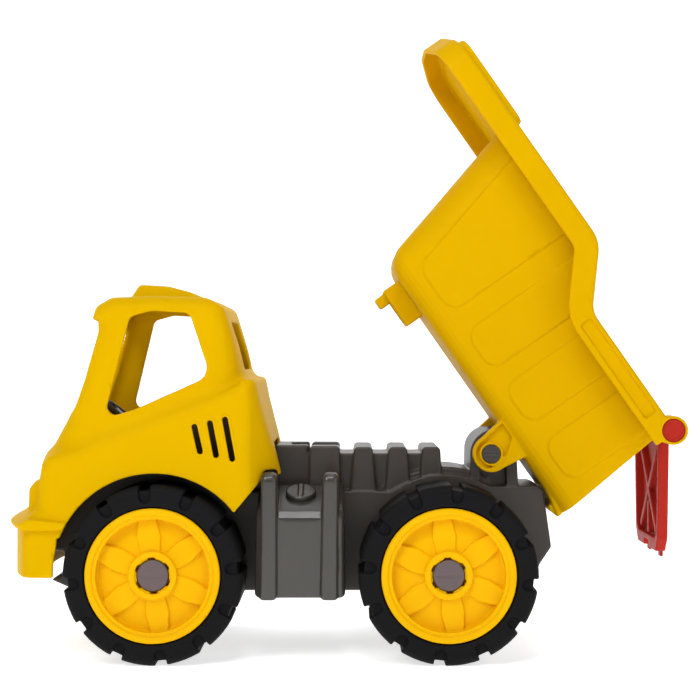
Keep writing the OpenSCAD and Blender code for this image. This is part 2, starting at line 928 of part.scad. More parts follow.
// Support block with its front prong
module floor_support() {
  block([support_dx[0], -support_half_w, support_foot_z], [support_dx[1], support_half_w, floor_z + 1]);
  block([prong_dx - 3.4, -8, -3.7], [prong_dx + 3.4, 8, 4]);
}

module dump_bed() {
  color(bed_yellow)
    at_bed()
      difference() {
        union() {
          difference() {
            tub(0);
            tub(wall);
            // everything behind the sloping rear edge
            across(-half_rim, half_rim)
              polygon([
                rear_foot + (rear_foot - rear_head) * 0.2, rear_head + (rear_head - rear_foot) * 0.6,
                [90, rear_head.y + 60], [90, rear_foot.y - 20],
              ]);
            // everything above the rim's top line
            across(-half_rim, half_rim)
              polygon(concat(rim_line(rim_t / 2, 80), [[80, 140], [canopy_tip_x - 5, 140]]));
          }
          difference() {
            rim();
            tub_opening();
          }
          for (side = [LEFT, RIGHT]) {
            side_panels(side);
            bed_lug(side);
            ear(side);
          }
          floor_support();
          // thicker floor over the hinge stand
          block([-stand_r, -bed_lug_in - 2, floor_z + 1], [stand_r, bed_lug_in + 2, floor_z + 4.4]);
          // stop tab under the rear edge
          block([44.6, -30, 9.6], [49.4, 30, floor_z + 1]);
        }
        rod_y(bed_pin_r + running_gap, -half_rim, half_rim);
        // groove that the top of the hinge stand runs in
        rod_y(stand_r + stand_dx + 0.4, -bed_lug_in, bed_lug_in);
        translate([ear_x, 0, ear_z])
          rod_y(gate_stud_d / 2 + running_gap, -half_rim - 1, half_rim + 1);
        gate_sweep();
      }
}

// The open top of the tub, taken out of the rim's flange
module tub_opening() {
  intersection() {
    across(-half_rim, half_rim)
      polygon([
        [bed_front_head_x + wall, rim_z + 10], [bed_front_head_x + wall + 8, 60], [90, 60], [90, rim_z + 10],
      ]);
    along(-220, 80)
      polygon(rounded(tub_section(wall)));
  }
}

// Tube that a tailgate stud turns in
module ear(side) {
  inner = bed_top_w / 2 - 4.6;
  y_from = side == LEFT ? -half_rim : inner;
  translate([ear_x, 0, ear_z])
    rod_y(ear_r, y_from, y_from + half_rim - inner);
}

// Room for the tailgate's top edge between the ears
module gate_sweep() {
  half = bed_top_w / 2 - 4.6;
  translate([ear_x, 0, ear_z])
    rod_y(ear_r + 1, -half, half);
}

// ---------- tailgate ----------

gate_top_half = 41.5;
gate_foot_half = 36.2;
gate_stud_end = 63;
gate_face = 0.6;
gate_closed_tilt = atan((rear_foot.x - rear_head.x) / (rear_head.y - rear_foot.y));

// The gate hangs from its studs: X to the rear, Z up, hinge on Y
module at_gate() {
  at_bed()
    translate([ear_x, 0, ear_z])
      rotate([0, -gate_closed_tilt - gate_open_angle, 0])
        children();
}

// Face outline, in Y and Z
function gate_outline() = [
  [-gate_top_half, 5, 4], [-gate_foot_half, -gate_l + 8, 0], [-gate_foot_half + 7, -gate_l, 1],
  [-8, -gate_l, 0], [-6, -gate_l + 4, 1], [6, -gate_l + 4, 1], [8, -gate_l, 0],
  [gate_foot_half - 7, -gate_l, 1], [gate_foot_half, -gate_l + 8, 0], [gate_top_half, 5, 4],
];

// Raised ribs on the inner face, crossing in the middle
module gate_ribs() {
  top = [30, -8];
  foot = [26, -gate_l + 12];
  for (side = [LEFT, RIGHT])
    along(gate_face - gate_t, gate_face - gate_t + 3)
      polygon([
        [side * top.x, top.y], [side * (top.x - 6), top.y], [-side * foot.x, foot.y], [-side * (foot.x - 6), foot.y],
      ]);
  block([gate_face - gate_t, -3, -gate_l + 8], [gate_face - gate_t + 3, 3, -gate_l / 2]);
}

module tailgate() {
  color(gate_red)
    at_gate() {
      // face plate with a raised frame round it
      difference() {
        along(gate_face - gate_t, gate_face)
          polygon(rounded(gate_outline(), 4));
        along(gate_face - gate_t - 1, gate_face - 2.2)
          polygon([
            [-gate_top_half + 5, -6], [-gate_foot_half + 3.6, -gate_l + 10], [gate_foot_half - 3.6, -gate_l + 10],
            [gate_top_half - 5, -6],
          ]);
      }
      gate_ribs();
      // latch tabs on the lower edge
      for (side = [LEFT, RIGHT])
        block([gate_face - 1.6, side * 18 - 4, -gate_l - 2], [gate_face, side * 18 + 4, -gate_l + 2]);
      // hinge studs
      for (side = [LEFT, RIGHT]) {
        y_from = side == LEFT ? -gate_stud_end : gate_top_half - 5;
        rod_y(gate_stud_d / 2, y_from, y_from + gate_stud_end - gate_top_half + 5);
      }
    }
}

module bed_pivot_pin() {
  color(frame_grey)
    translate([bed_pivot_x, 0, bed_pivot_z])
      rod_y(bed_pin_r, -bed_lug_out - 0.4, bed_lug_out + 0.4);
}

// ---------- nodes ----------

chassis();
cab_shell();
cab_interior();
steering_wheel();
tank(LEFT);  // side_tank_left
tank(RIGHT);  // side_tank_right
filler_cap(LEFT);  // filler_cap_left
filler_cap(RIGHT);  // filler_cap_right
translate([front_axle_x, 0, axle_z]) axle();  // front_axle
translate([rear_axle_x, 0, axle_z]) axle();  // rear_axle
bed_pivot_pin();
dump_bed();
tailgate();
at_wheel(front_axle_x, LEFT) hub();  // hub_front_left
at_wheel(front_axle_x, RIGHT) hub();  // hub_front_right
at_wheel(rear_axle_x, LEFT) hub();  // hub_rear_left
at_wheel(rear_axle_x, RIGHT) hub();  // hub_rear_right
at_wheel(front_axle_x, LEFT) tyre();  // tyre_front_left
at_wheel(front_axle_x, RIGHT) tyre();  // tyre_front_right
at_wheel(rear_axle_x, LEFT) tyre();  // tyre_rear_left
at_wheel(rear_axle_x, RIGHT) tyre();  // tyre_rear_right
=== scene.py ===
import functools
import json
import math

import bpy
import numpy as np
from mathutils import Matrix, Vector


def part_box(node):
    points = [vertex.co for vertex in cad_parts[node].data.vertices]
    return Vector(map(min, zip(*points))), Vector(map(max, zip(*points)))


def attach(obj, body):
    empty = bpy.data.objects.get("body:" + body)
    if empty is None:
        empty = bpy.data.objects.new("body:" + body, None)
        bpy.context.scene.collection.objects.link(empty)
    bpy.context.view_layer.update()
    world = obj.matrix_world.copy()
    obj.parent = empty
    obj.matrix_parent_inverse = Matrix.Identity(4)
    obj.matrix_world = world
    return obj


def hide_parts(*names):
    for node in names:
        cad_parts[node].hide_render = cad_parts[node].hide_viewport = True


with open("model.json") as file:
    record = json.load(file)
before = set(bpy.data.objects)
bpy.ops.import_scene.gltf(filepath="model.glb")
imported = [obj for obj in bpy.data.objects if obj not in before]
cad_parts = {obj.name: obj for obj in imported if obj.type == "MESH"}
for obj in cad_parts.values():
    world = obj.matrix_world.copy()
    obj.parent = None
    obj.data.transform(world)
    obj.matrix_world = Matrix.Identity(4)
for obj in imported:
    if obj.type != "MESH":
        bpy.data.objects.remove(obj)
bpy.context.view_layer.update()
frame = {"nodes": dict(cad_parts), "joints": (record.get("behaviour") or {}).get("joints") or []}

import openvdb

# Lengths are in millimetres until a mesh is made, and X is measured from a part's own datum:
# the front axle for the cab, the bed hinge for the bed, the rear axle for the chassis.
MM = 0.001
LEFT, RIGHT = -1, 1


def centre(node):
    """The middle of a CAD node's box, in millimetres."""
    low, high = (np.array(corner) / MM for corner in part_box(node))
    return (low + high) / 2


FRONT_AXLE = centre("front_axle")
REAR_AXLE = centre("rear_axle")
BED_HINGE = centre("bed_pivot_pin")
GATE_HINGE = np.array(next(j["pos_m"] for j in frame["joints"] if j["name"] == "tailgate_swing")) / MM
TIP_ANGLE = next(j["range_deg"][1] for j in frame["joints"] if j["name"] == "bed_tip")
GATE_CLOSED = next(j["range_deg"][1] for j in frame["joints"] if j["name"] == "tailgate_swing")
WALL, PLAY = 2.4, 0.05


# ---------------------------------------------------------------- shapes as distance fields

class Grid:
    """A block of space sampled at even steps; a field on it is negative inside the solid."""

    def __init__(self, low, high, step):
        self.low = np.array(low, dtype=float)
        self.step = step
        x, y, z = (np.arange(a, b + step, step, dtype=np.float32) for a, b in zip(low, high))
        self.x, self.y, self.z = x[:, None, None], y[None, :, None], z[None, None, :]


def unit(v):
    return v / np.linalg.norm(v)


def rounded(points, steps=6):
    """A closed outline from (u, v, corner radius) points, with each corner as an arc."""
    out = []
    for i, (u, v, r) in enumerate(points):
        here = np.array((u, v), dtype=float)
        if r <= 0:
            out.append(here)
            continue
        to_last = unit(np.array(points[i - 1][:2]) - here)
        to_next = unit(np.array(points[(i + 1) % len(points)][:2]) - here)
        half = math.acos(np.clip(to_last @ to_next, -1, 1)) / 2
        middle = here + unit(to_last + to_next) * r / math.sin(half)
        start = here + to_last * r / math.tan(half) - middle
        end = here + to_next * r / math.tan(half) - middle
        a0 = math.atan2(start[1], start[0])
        turn = math.atan2(start[0] * end[1] - start[1] * end[0], start @ end)
        for k in range(steps + 1):
            a = a0 + turn * k / steps
            out.append(middle + r * np.array((math.cos(a), math.sin(a))))
    return np.array(out)


def prism(u, v, outline):
    """Distance from an endless prism whose outline lies in the u-v plane."""
    u, v = np.broadcast_arrays(u, v)
    nearest = np.full(u.shape, np.inf, dtype=np.float32)
    inside = np.zeros(u.shape, dtype=bool)
    for a, b in zip(outline, np.roll(outline, -1, axis=0)):
        edge = b - a
        if not edge.any():
            continue
        wu, wv = u - a[0], v - a[1]
        along = np.clip((wu * edge[0] + wv * edge[1]) / (edge @ edge), 0, 1)
        nearest = np.minimum(nearest, (wu - edge[0] * along) ** 2 + (wv - edge[1] * along) ** 2)
        if edge[1]:
            crosses = (a[1] <= v) != (b[1] <= v)
            inside ^= crosses & (wu < wv * edge[0] / edge[1])
    return np.where(inside, -1, 1) * np.sqrt(nearest)


def slab(u, low, high):
    return np.maximum(low - u, u - high)


def circle(u, v, radius, at=(0, 0)):
    return np.hypot(u - at[0], v - at[1]) - radius


def capsule(u, v, a, b, radius):
    """Distance from a round-ended bar in the u-v plane."""
    a, b = np.array(a, dtype=float), np.array(b, dtype=float)
    edge = b - a
    along = np.clip(((u - a[0]) * edge[0] + (v - a[1]) * edge[1]) / (edge @ edge), 0, 1)
    return np.hypot(u - a[0] - edge[0] * along, v - a[1] - edge[1] * along) - radius


def both(a, b, r=0.0):
    """What two solids share, with their common edge rounded by r."""
    if np.isscalar(r) and r <= 0:
        return np.maximum(a, b)
    return np.minimum(np.maximum(a, b), -r) + np.hypot(np.maximum(a + r, 0), np.maximum(b + r, 0))


def join(a, b, r=0.0):
    """Two solids together, with a fillet of radius r where they meet."""
    if r <= 0:
        return np.minimum(a, b)
    return np.maximum(np.minimum(a, b), r) - np.hypot(np.maximum(r - a, 0), np.maximum(r - b, 0))


def cut(a, b, r=0.0):
    return both(a, -b, r)


def union(fields):
    """Several solids together, without fillets."""
    return functools.reduce(np.minimum, fields)


def box(grid, low, high, r=0.0):
    """A box between two corners, with its edges rounded by r."""
    sides = [slab(c, a, b) for c, a, b in zip((grid.x, grid.y, grid.z), low, high)]
    return both(both(sides[0], sides[1], r), sides[2], r)


def bowed(grid, field_xz, shift):
    """A field over x and z, pushed along x by shift(x, y) at each place."""
    moved = (grid.x + shift - grid.low[0])[:, :, 0] / grid.step
    moved = np.clip(moved, 0, field_xz.shape[0] - 1.001)
    index = moved.astype(int)
    part = (moved - index)[:, :, None].astype(np.float32)
    flat = field_xz[:, 0, :]
    return flat[index] * (1 - part) + flat[index + 1] * part


def sample(grid, field, points):
    """Field values between the grid's samples."""
    p = (points - grid.low) / grid.step
    p = np.clip(p, 0, np.array(field.shape) - 1.001)
    i = p.astype(int)
    f = p - i
    total = np.zeros(len(p))
    for dx in (0, 1):
        for dy in (0, 1):
            for dz in (0, 1):
                weight = np.abs(1 - dx - f[:, 0]) * np.abs(1 - dy - f[:, 1]) * np.abs(1 - dz - f[:, 2])
                total += weight * field[i[:, 0] + dx, i[:, 1] + dy, i[:, 2] + dz]
    return total


def surface(name, grid, field, place=None, merge=0.02, flip=False):
    """Meshes a field's surface, moves it into the frame with place() and smooths its shading."""
    field = np.broadcast_to(field, (grid.x.size, grid.y.size, grid.z.size))
    band = 3 * grid.step
    volume = openvdb.FloatGrid(band)
    volume.copyFromArray(np.clip(field, -band, band).astype(np.float32))
    points, triangles, quads = volume.convertToPolygons(0.0, merge)
    points = grid.low + points.astype(float) * grid.step
    normals = np.zeros_like(points)
    for axis in range(3):
        reach = np.zeros(3)
        reach[axis] = grid.step * 0.6
        normals[:, axis] = sample(grid, field, points + reach) - sample(grid, field, points - reach)
    normals /= np.maximum(np.linalg.norm(normals, axis=1, keepdims=True), 1e-9)
    if place is not None:
        points, normals = place(points), place(normals) - place(np.zeros((1, 3)))
    if flip:
        triangles, quads = triangles[:, ::-1], quads[:, ::-1]
    corners = np.concatenate([triangles.ravel(), quads.ravel()])
    sizes = np.concatenate([np.full(len(triangles), 3), np.full(len(quads), 4)])
    mesh = bpy.data.meshes.new(name)
    mesh.vertices.add(len(points))
    mesh.vertices.foreach_set("co", (points * MM).astype(np.float32).ravel())
    mesh.loops.add(len(corners))
    mesh.loops.foreach_set("vertex_index", corners.astype(np.int32))
    mesh.polygons.add(len(sizes))
    mesh.polygons.foreach_set("loop_start", (np.cumsum(sizes) - sizes).astype(np.int32))
    mesh.update(calc_edges=True)
    mesh.validate()
    mesh.shade_smooth()
    mesh.normals_split_custom_set_from_vertices(normals)
    piece = bpy.data.objects.new(name, mesh)
    bpy.context.scene.collection.objects.link(piece)
    return piece


def stand_in(piece, node, body, material):
    """Puts a detailed piece in place of a CAD node."""
    piece.data.materials.append(material)
    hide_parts(node)
    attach(piece, body)


def turned(points, degrees):
    """Turns points about the Y axis, from Z towards X."""
    c, s = math.cos(math.radians(degrees)), math.sin(math.radians(degrees))
    x, y, z = points.T
    return np.column_stack([x * c + z * s, y, -x * s + z * c])


# ---------------------------------------------------------------- materials

def node(tree, kind, **values):
    """Adds a shader node, with its sockets' values or its settings by name."""
    made = tree.nodes.new(kind)
    for key, value in values.items():
        if key in made.inputs:
            made.inputs[key].default_value = value
        else:
            setattr(made, key, value)
    return made


def plastic(name, colour, roughness, glow=0.0, grain=0.03, mottle=0.04, gloss_level=0.4, wear=0.12):
    """Moulded plastic: fine grain, a slightly uneven colour and gloss, and lighter rubbed edges."""
    material = bpy.data.materials.new(name)
    material.use_nodes = True
    tree = material.node_tree
    link = tree.links.new
    shader = tree.nodes["Principled BSDF"]
    shader.inputs["IOR"].default_value = 1.49
    shader.inputs["Specular IOR Level"].default_value = gloss_level
    shader.inputs["Subsurface Weight"].default_value = glow
    shader.inputs["Subsurface Radius"].default_value = (1.0, 0.45, 0.05)
    shader.inputs["Subsurface Scale"].default_value = 0.003
    where = node(tree, "ShaderNodeTexCoord")

    clouds = node(tree, "ShaderNodeTexNoise", Scale=38.0, Detail=3.0, Roughness=0.55)
    link(where.outputs["Object"], clouds.inputs["Vector"])
    dark = tuple(c * (1 - mottle) for c in colour)
    light = tuple(min(1.0, c * (1 + mottle)) for c in colour)
    tint = node(tree, "ShaderNodeMix", data_type="RGBA")
    link(clouds.outputs["Fac"], tint.inputs[0])
    tint.inputs[6].default_value = (*dark, 1)
    tint.inputs[7].default_value = (*light, 1)

    shape = node(tree, "ShaderNodeNewGeometry")
    edges = node(tree, "ShaderNodeMapRange", clamp=True)
    edges.inputs["From Min"].default_value = 0.53
    edges.inputs["From Max"].default_value = 0.62
    edges.inputs["To Max"].default_value = wear
    link(shape.outputs["Pointiness"], edges.inputs["Value"])
    rubbed = node(tree, "ShaderNodeMix", data_type="RGBA")
    link(edges.outputs["Result"], rubbed.inputs[0])
    link(tint.outputs[2], rubbed.inputs[6])
    rubbed.inputs[7].default_value = (*(min(1.0, c * 1.25 + 0.02) for c in colour), 1)
    link(rubbed.outputs[2], shader.inputs["Base Color"])

    gloss = node(tree, "ShaderNodeTexNoise", Scale=160.0, Detail=4.0, Roughness=0.6)
    link(where.outputs["Object"], gloss.inputs["Vector"])
    spread = node(tree, "ShaderNodeMapRange")
    spread.inputs["To Min"].default_value = roughness - 0.06
    spread.inputs["To Max"].default_value = roughness + 0.06
    link(gloss.outputs["Fac"], spread.inputs["Value"])
    link(spread.outputs["Result"], shader.inputs["Roughness"])

    texture = node(tree, "ShaderNodeTexNoise", Scale=1500.0, Detail=2.0, Roughness=0.5)
    link(where.outputs["Object"], texture.inputs["Vector"])
    waves = node(tree, "ShaderNodeTexNoise", Scale=30.0, Detail=1.0)
    link(where.outputs["Object"], waves.inputs["Vector"])
    ripple = node(tree, "ShaderNodeBump", Strength=0.25, Distance=0.0004)
    link(waves.outputs["Fac"], ripple.inputs["Height"])
    bump = node(tree, "ShaderNodeBump", Strength=grain, Distance=0.0004)
    link(texture.outputs["Fac"], bump.inputs["Height"])
    link(ripple.outputs["Normal"], bump.inputs["Normal"])
    link(bump.outputs["Normal"], shader.inputs["Normal"])
    return material


cab_yellow = plastic("cab_yellow", (0.69, 0.405, 0.0), 0.42, glow=0.1, gloss_level=0.012)
bed_yellow = plastic("bed_yellow", (0.66, 0.375, 0.0), 0.42, glow=0.1, gloss_level=0.012)
rim_yellow = plastic("rim_yellow", (0.84, 0.455, 0.0), 0.4, glow=0.1, gloss_level=0.06)
frame_grey = plastic("frame_grey", (0.051, 0.044, 0.038), 0.38, grain=0.06, gloss_level=0.28)
tank_grey = plastic("tank_grey", (0.043, 0.039, 0.035), 0.24, grain=0.03, gloss_level=0.6)
pin_grey = plastic("pin_grey", (0.128, 0.096, 0.1), 0.42, gloss_level=0.3)
tyre_black = plastic("tyre_black", (0.006, 0.006, 0.007), 0.62, grain=0.08, mottle=0.15, gloss_level=0.1)
gate_red = plastic("gate_red", (0.42, 0.024, 0.016), 0.4, glow=0.06, gloss_level=0.05)


# ---------------------------------------------------------------- cab

def cab_place(points):
    return points + np.array([FRONT_AXLE[0], 0, 0])


ARCH_R, AXLE_Z = 56, 50
CAB_HALF = 70
BUMPER_BOW, HOOD_BOW, GLASS_BOW = 13.4, 6, 5
# The foot and the head of each vent's middle line.
VENTS = (((25.7, 118.3), (22.6, 132)), ((34.6, 116.3), (31.2, 134)), ((43.6, 114.2), (39.6, 136)))
VENT_R, VENT_RIM = 1.6, 1.5
GRILLE_PITCH, GRILLE_HALF, GRILLE_Z = 5.2, 27, (86.6, 107.5)


def lean(z, half_low, z_low, half_high, z_high):
    """Half width of a side wall that leans evenly between two heights."""
    return half_low + (z - z_low) * (half_high - half_low) / (z_high - z_low)


def cab_outer(g):
    """The cab's outer surface, without its openings and running down past its lower edge."""
    across = np.abs(g.y)
    low = prism(g.x, g.z, rounded([
        (-64, 20, 0), (-64, 88, 4), (-63.2, 101, 4), (-61.8, 110, 5), (-58.6, 115.6, 5), (-37.6, 121.8, 60),
        (46, 155, 16), (49, 158.8, 2), (55.9, 158.2, 3.5), (58.6, 145.5, 12), (65.5, 120, 30), (72, 93, 0),
        (72, 20, 0),
    ]))
    bow = HOOD_BOW * (1 - np.clip(across / CAB_HALF, 0, 1) ** 2) * (g.x < 0)
    low = bowed(g, low, bow)
    corner = prism(g.x, across, rounded([
        (-90, -20, 0), (73, -20, 0), (73, 42, 12), (50, 70, 14), (-55, 70, 0), (-72, 65.5, 0), (-90, 58, 0),
    ]))
    under_lip = 1.2 * np.clip((75.5 - g.z) / 1.5, 0, 1)
    side = across - lean(g.z, CAB_HALF, 90, 69, 150) + under_lip
    body = both(both(low, side, 7), corner, 4)

    high = prism(g.x, g.z, rounded([
        (-62, 100, 0), (-59.2, 116, 12), (-47.8, 137, 40), (-39.6, 158.9, 60), (-31.4, 190.8, 1.2),
        (-35, 192.1, 0.8), (-33, 199.3, 7), (-24, 204.4, 8), (0, 205.2, 0), (28, 204.3, 8), (37.6, 199.5, 8),
        (51.2, 159, 8), (53, 148, 0), (53, 100, 0),
    ]))
    bow_above = GLASS_BOW * (1 - np.clip(across / 62, 0, 1) ** 2) * (g.x < 0)
    high = bowed(g, high, bow_above)
    crown = across - lean(g.z, 66.4, 140, 61, 191)
    roof_corner = prism(g.x, across, rounded([
        (-90, -20, 0), (53, -20, 0), (53, 64.5, 27), (-28, 67, 10), (-60, 60, 0), (-90, 50, 0),
    ]))
    upper = both(both(high, crown, 9), roof_corner, 9)
    shell = join(body, upper, 6)

    panel = prism(g.x, g.z, rounded([
        (-21, 198, 0), (-12.6, 212.6, 3), (4, 211.6, 20), (17, 208.2, 12), (27, 203, 6), (27, 198, 0),
    ]))
    panel = both(panel, across - lean(g.z, 37, 204, 32, 212), 3)
    shell = join(shell, panel, 1.5)

    pods = prism(g.x, g.z, rounded([
        (-60, 84, 0), (-69.6, 84, 0), (-69.3, 96.4, 3), (-66, 100.8, 3), (-60, 101.4, 0),
    ]))
    pods = both(bowed(g, pods, bow), slab(across, 36, 59), 3.5)
    return join(shell, pods, 1.2)


def bumper_outer(g):
    """The bowed bumper skirt, and the lip along its top."""
    across = np.abs(g.y)
    bow = BUMPER_BOW * (1 - np.clip(across / CAB_HALF, 0, 1) ** 2.5)
    skirt = prism(g.x, g.z, rounded([
        (-71.4, 20, 0), (-71.2, 76, 0), (-71, 79.5, 0), (-60, 88, 0), (-40, 88, 0), (-40, 20, 0),
    ]))
    skirt = both(bowed(g, skirt, bow), across - CAB_HALF + 1.2, 5)
    lip = prism(g.x, g.z, rounded([
        (-75.3, 77.4, 0.7), (-73.4, 74.6, 1), (-48, 74.6, 0), (-48, 79, 0), (-70, 81, 4),
    ]))
    lip = both(bowed(g, lip, bow), across - CAB_HALF - 1.9, 1.2)
    return skirt, lip


def side_vents(g, widen):
    """Three slanted round-ended slots below and behind the side window."""
    return union(capsule(g.x, g.z, foot, head, VENT_R + widen) for foot, head in VENTS)


def cab_openings(g):
    """The side windows, the windscreen, the rear window and the gap that the chassis passes through."""
    across = np.abs(g.y)
    side_window = prism(g.x, g.z, rounded([
        (-28.2, 136.6, 4.5), (-14.2, 193.4, 5), (-2, 196.6, 9), (19, 195.4, 5), (30.8, 160.2, 8.5),
        (-12, 141.2, 50),
    ]))
    windscreen = both(both(across - lean(g.z, 57.5, 139, 56.5, 189), slab(g.z, 139, 189), 6), g.x + 24)
    rear_window = both(both(across - lean(g.z, 34, 163, 31, 191), slab(g.z, 163.5, 191), 5), 34 - g.x)
    chassis_gap = both(both(slab(g.z, 60, 121), across - 29.4, 2), 50 - g.x)
    return side_window, windscreen, rear_window, chassis_gap


def cab_shell():
    """One thin moulding: the outer surface hollowed out, trimmed at the wheel arches and pierced."""
    g = Grid((-92, -73, 45), (73, 73, 216), 0.65)
    across = np.abs(g.y)
    outer = cab_outer(g)
    skirt, lip = bumper_outer(g)
    solid = join(join(outer, skirt, 2), lip, 0.6)
    # Raised rims round the vents, and a shallow grille between the headlight pods.
    rims = both(side_vents(g, VENT_RIM), np.abs(outer) - 0.55, 0.5)
    solid = join(solid, rims, 0.4)
    bars = slab(g.z % GRILLE_PITCH, GRILLE_PITCH / 4, GRILLE_PITCH * 3 / 4)
    grille = both(bars, both(slab(g.z, *GRILLE_Z), across - GRILLE_HALF))
    solid = cut(solid, both(grille, np.abs(outer) - 1.1), 0.4)
    hollow = np.minimum(outer + WALL, both(skirt + WALL, -30 - g.x))
    shell = cut(solid, hollow, 0.5)

    lower_edge = prism(g.x, g.z, rounded([
        (-110, 48, 0), (-53.9, 48, 1.5), (-53.9, 70, 0), (43, 70, 0), (43, 82, 0), (45.4, 85.4, 1.6),
        (60.8, 103.6, 1), (66, 103.6, 0), (90, 103.6, 0), (90, 240, 0), (-110, 240, 0),
    ]))
    lower_edge = cut(lower_edge, circle(g.x, g.z, ARCH_R, (0, AXLE_Z)), 1.0)
    shell = both(shell, lower_edge, 0.7)
    for opening in cab_openings(g):
        shell = cut(shell, opening, 0.9)
    shell = cut(shell, both(side_vents(g, 0), 40 - across), 0.4)
    strap_notch = both(both(slab(g.x, 59.9, 67.9), g.z - 107.2, 2.5), 28 - across)
    shell = cut(shell, strap_notch, 0.3)
    moulding = surface("cab_moulding", g, shell, cab_place)
    stand_in(moulding, "cab_shell", "truck_frame", cab_yellow)


cab_shell()


# ---------------------------------------------------------------- dump bed

# The bed is measured lowered, from its hinge: X to the rear, Z up.
FLOOR_Z, RIM_Z, LOW_RIM_Z = 14, 117.6, 91.4
HALF_RIM, LIP_H, RIM_T = 62.2, 14, 2.4
EAR = (45.3, 90.2)
EAR_R, EAR_INNER_Y, STUD_R = 8.1, 44.9, 6.6
CANOPY_TIP_X, CANOPY_BOW = -215, 12
PAD_X, PAD_HALF, PAD_TOP_Z = (-203, -145), 58.2, 121
LIP_GROOVE_X, LIP_GROOVE_Z, LIP_GROOVE_DEPTH = (-33, 31), (81, 88.4), 1.5
BED_FRONT_FOOT, BED_FRONT_HEAD = (-124.9, 14), (-151.6, 117.6)
BED_REAR_FOOT, BED_REAR_HEAD = (52.3, 10.6), (45.0, 82.3)
PIN_R = 5.4
# Each panel's front edge at its foot and at its head, and its rear edge.
PANELS = ((-112, -135, -79.6), (-66, -66, -39), (-28, -28, -1), (11, 11, 39))
PANEL_FOOT_Z, PANEL_RISE = 27, 0.9
LUG_R, LUG_Y, STAND_CLEAR_R = 10.6, (29.5, 36), 16.2


def bed_place(points):
    return turned(points, TIP_ANGLE) + np.array([BED_HINGE[0], 0, BED_HINGE[2]])


def half_plane(u, v, a, b):
    """Distance to the right of the line from a to b, negative on its left."""
    along = unit(np.array(b, dtype=float) - np.array(a, dtype=float))
    return (u - a[0]) * along[1] - (v - a[1]) * along[0]


def bed_tub(g, inset):
    """The tub's outer surface, or its inner one, open at the top and the rear."""
    section = prism(np.abs(g.y), g.z, rounded([
        (-60, FLOOR_Z + inset, 0), (40 - inset, FLOOR_Z + inset, 12 - inset), (50.4 - inset, 130, 0),
        (-60, 130, 0),
    ]))
    front = half_plane(g.x, g.z, BED_FRONT_HEAD, BED_FRONT_FOOT) + inset
    corner_r = 11 + 8 * np.clip((g.z - 24) / 30, 0, 1) - inset
    return both(section, front, corner_r)


def rim_top(g):
    """Everything under the rim's top line, which steps down along a slope."""
    return prism(g.x, g.z, rounded([
        (-400, -200, 0), (-400, RIM_Z, 0), (-65.4, RIM_Z, 20), (-35.2, LOW_RIM_Z, 14), (300, LOW_RIM_Z, 0),
        (300, -200, 0),
    ]))


def bed_rim(g, top, opening):
    """The lip round the tub, which runs forward as a canopy with a raised pad on it."""
    plan = prism(g.x, np.abs(g.y), rounded([
        (CANOPY_TIP_X, -70, 0), (CANOPY_TIP_X, 16, 34), (CANOPY_TIP_X + CANOPY_BOW, HALF_RIM, 20),
        (120, HALF_RIM, 0), (120, -70, 0),
    ], 10))
    rim = both(both(top, plan, 2.4), -top - LIP_H, 0.5)
    rim = cut(rim, both(top + RIM_T, plan + RIM_T, 1.6), 0.5)
    pad = prism(g.x, np.abs(g.y), rounded([
        (PAD_X[0], -70, 0), (PAD_X[0], PAD_HALF, 10), (PAD_X[1], PAD_HALF, 6), (PAD_X[1], -70, 0),
    ], 8))
    pad = both(both(pad, g.z - PAD_TOP_Z, 1.6), PAD_TOP_Z - 6 - g.z)
    rim = join(rim, pad, 0.5)
    rim = cut(rim, opening, 1.0)
    rim = both(rim, g.x - BED_REAR_HEAD[0] - 1.8, 0.8)
    groove = both(slab(g.x, *LIP_GROOVE_X), slab(g.z, *LIP_GROOVE_Z), 1.5)
    groove = both(groove, HALF_RIM - LIP_GROOVE_DEPTH - np.abs(g.y))
    return cut(rim, groove, 0.4)


def bed_panels(g, outer):
    """Shallow panels pressed outwards in the side walls."""
    panels = union(prism(g.x, g.z, rounded([
        (front_foot, PANEL_FOOT_Z, 9), (rear, PANEL_FOOT_Z, 9), (rear, 118, 0), (front_head, 118, 0),
    ])) for front_foot, front_head, rear in PANELS)
    return both(both(panels, outer - PANEL_RISE, 0.8), 30 - np.abs(g.y))


def bed_lugs(g):
    """Hinge lugs under the floor: a raised rim, a recessed web and a ring round the pin."""
    across = np.abs(g.y)
    round_end = circle(g.x, g.z, LUG_R)
    body = prism(g.x, g.z, rounded([(-10.2, -2.6, 0), (10.2, -2.6, 0), (13, 17, 0), (-13, 17, 0)]))
    outline = np.minimum(round_end, body)
    lug = both(outline, slab(across, *LUG_Y), 0.6)
    web = prism(g.x, g.z, rounded([
        (-20, -12, 0), (7.6, -12, 0), (5.2, 7, 1), (-0.4, 14.6, 1), (-3, 22, 0), (-20, 22, 0),
    ]))
    web = both(both(web, outline + 1.9, 1.2), 6.9 - np.hypot(g.x, g.z), 0.8)
    lug = cut(lug, both(web, LUG_Y[1] - 2.6 - across), 0.5)
    ring = np.abs(np.hypot(g.x, g.z) - 7.9) - 0.5
    return cut(lug, both(ring, LUG_Y[1] - 0.5 - across), 0.3)


